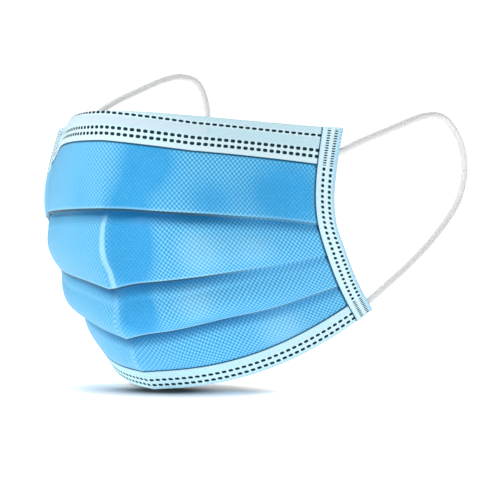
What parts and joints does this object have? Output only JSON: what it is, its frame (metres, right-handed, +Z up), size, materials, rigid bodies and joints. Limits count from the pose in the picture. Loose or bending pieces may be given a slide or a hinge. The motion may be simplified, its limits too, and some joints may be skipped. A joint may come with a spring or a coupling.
{
  "type": "disposable face mask",
  "caption": "Pleated three-layer face mask in its worn form, with a folded white strip on every edge, a wire over the nose and an elastic ear loop on each side.",
  "frame": {"origin": "where the mask rests on the bridge of the nose: the middle of the inside of the top hem", "axes": "+X towards the wearer's left ear, +Y from the mask towards the wearer's face, +Z up as worn"},
  "size_m": [0.1402, 0.1598, 0.1235],
  "materials": {
    "blue_spunbond": "matte nonwoven cloth with a fine embossed lattice",
    "white_spunbond": "matte white nonwoven strip with rows of weld points",
    "coated_wire": "flat wire in a white plastic coat",
    "white_elastic": "soft white knitted elastic"
  },
  "bodies": {
    "root": {"pleated_panel": "blue_spunbond", "top_hem": "white_spunbond", "bottom_hem": "white_spunbond", "side_binding_left": "white_spunbond", "side_binding_right": "white_spunbond", "nose_wire": "coated_wire", "ear_loop_left": "white_elastic", "ear_loop_right": "white_elastic"}
  },
  "joints": []
}
